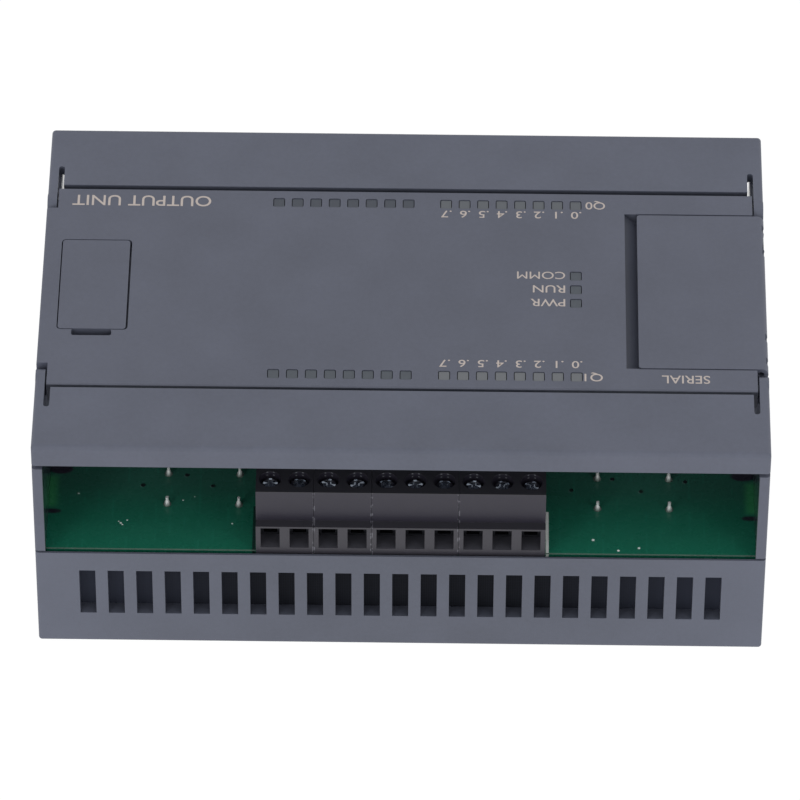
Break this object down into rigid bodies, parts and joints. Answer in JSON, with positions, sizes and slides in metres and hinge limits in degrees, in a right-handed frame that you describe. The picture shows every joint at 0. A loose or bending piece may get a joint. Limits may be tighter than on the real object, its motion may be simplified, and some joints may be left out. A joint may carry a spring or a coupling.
{
  "type": "industrial controller output module",
  "caption": "Rail-mounted controller relay output module: grey two-shell case with vents, hinged terminal doors, lamp windows, a flush port door and screw terminals.",
  "frame": {"origin": "middle of the back plane that lies on the mounting surface", "axes": "+X along the long side towards the port door, +Y towards the latch side, +Z out of the front face"},
  "size_m": [0.128, 0.082, 0.048],
  "materials": {
    "housing": "fine moulded texture, matte",
    "latch": "smooth moulded",
    "board": "glossy solder mask",
    "terminal": "satin moulded",
    "screw_steel": "zinc plated",
    "cage": "zinc plated",
    "screen": "fine woven mesh",
    "solder": "bright solder",
    "relay_case": "moulded",
    "light_pipe": "smoked, translucent",
    "lamp": "clear",
    "black_plastic": "moulded",
    "capacitor": "sleeved can",
    "switch_body": "moulded",
    "switch_slider": "moulded"
  },
  "bodies": {
    "housing": {"base_housing": "housing", "front_cover": "housing", "main_board": "board", "logic_board": "board", "near_terminal_block_1": "terminal", "near_terminal_block_2": "terminal", "near_terminal_block_3": "terminal", "near_terminal_block_4": "terminal", "far_terminal_block_1": "terminal", "far_terminal_block_2": "terminal", "far_terminal_block_3": "terminal", "far_terminal_block_4": "terminal", "near_terminal_screws": "screw_steel", "far_terminal_screws": "screw_steel", "port_hinge_pin": "screw_steel", "assembly_screws": "screw_steel", "serial_connector_shell": "screw_steel", "near_clamp_cages": "cage", "far_clamp_cages": "cage", "dust_screens": "screen", "relay_pins": "solder", "relay_01": "relay_case", "relay_02": "relay_case", "relay_03": "relay_case", "relay_04": "relay_case", "relay_05": "relay_case", "relay_06": "relay_case", "relay_07": "relay_case", "relay_08": "relay_case", "relay_09": "relay_case", "relay_10": "relay_case", "relay_11": "relay_case", "relay_12": "relay_case", "relay_13": "relay_case", "relay_14": "relay_case", "relay_15": "relay_case", "relay_16": "relay_case", "light_pipe_far_left": "light_pipe", "light_pipe_far_right": "light_pipe", "light_pipe_near_left": "light_pipe", "light_pipe_near_right": "light_pipe", "light_pipe_status": "light_pipe", "leds": "lamp", "board_headers": "black_plastic", "microcontroller": "black_plastic", "relay_drivers": "black_plastic", "serial_connector_insert": "black_plastic", "power_capacitors": "capacitor", "dip_switch": "switch_body"},
    "near_door_body": {"near_door": "housing"},
    "far_door_body": {"far_door": "housing"},
    "port_door_body": {"port_door": "housing"},
    "switch_cover_body": {"switch_cover": "housing"},
    "rail_latch_body": {"rail_latch": "latch"},
    "dip_slider_1_body": {"dip_slider_1": "switch_slider"},
    "dip_slider_2_body": {"dip_slider_2": "switch_slider"},
    "dip_slider_3_body": {"dip_slider_3": "switch_slider"},
    "dip_slider_4_body": {"dip_slider_4": "switch_slider"},
    "dip_slider_5_body": {"dip_slider_5": "switch_slider"},
    "dip_slider_6_body": {"dip_slider_6": "switch_slider"}
  },
  "joints": [
    {"name": "near_door_hinge", "type": "hinge", "parent": "housing", "child": "near_door_body", "pos_m": [0, -0.0226, 0.0457], "axis": [-1, 0, 0], "range_deg": [0, 90]},
    {"name": "far_door_hinge", "type": "hinge", "parent": "housing", "child": "far_door_body", "pos_m": [0, 0.0226, 0.0457], "axis": [1, 0, 0], "range_deg": [0, 90]},
    {"name": "port_door_hinge", "type": "hinge", "parent": "housing", "child": "port_door_body", "pos_m": [0.0627, 0, 0.0467], "axis": [0, 1, 0], "range_deg": [0, 95]},
    {"name": "switch_cover_lift", "type": "slide", "parent": "housing", "child": "switch_cover_body", "axis": [0, 0, 1], "range_m": [0, 0.02]},
    {"name": "rail_latch_slide", "type": "slide", "parent": "housing", "child": "rail_latch_body", "axis": [0, 1, 0], "range_m": [0, 0.004], "stiffness_N_per_m": 600, "springref_m": -0.001},
    {"name": "dip_slider_1_slide", "type": "slide", "parent": "housing", "child": "dip_slider_1_body", "axis": [1, 0, 0], "range_m": [0, 0.0018]},
    {"name": "dip_slider_2_slide", "type": "slide", "parent": "housing", "child": "dip_slider_2_body", "axis": [1, 0, 0], "range_m": [0, 0.0018]},
    {"name": "dip_slider_3_slide", "type": "slide", "parent": "housing", "child": "dip_slider_3_body", "axis": [1, 0, 0], "range_m": [0, 0.0018]},
    {"name": "dip_slider_4_slide", "type": "slide", "parent": "housing", "child": "dip_slider_4_body", "axis": [1, 0, 0], "range_m": [0, 0.0018]},
    {"name": "dip_slider_5_slide", "type": "slide", "parent": "housing", "child": "dip_slider_5_body", "axis": [1, 0, 0], "range_m": [0, 0.0018]},
    {"name": "dip_slider_6_slide", "type": "slide", "parent": "housing", "child": "dip_slider_6_body", "axis": [1, 0, 0], "range_m": [0, 0.0018]}
  ]
}
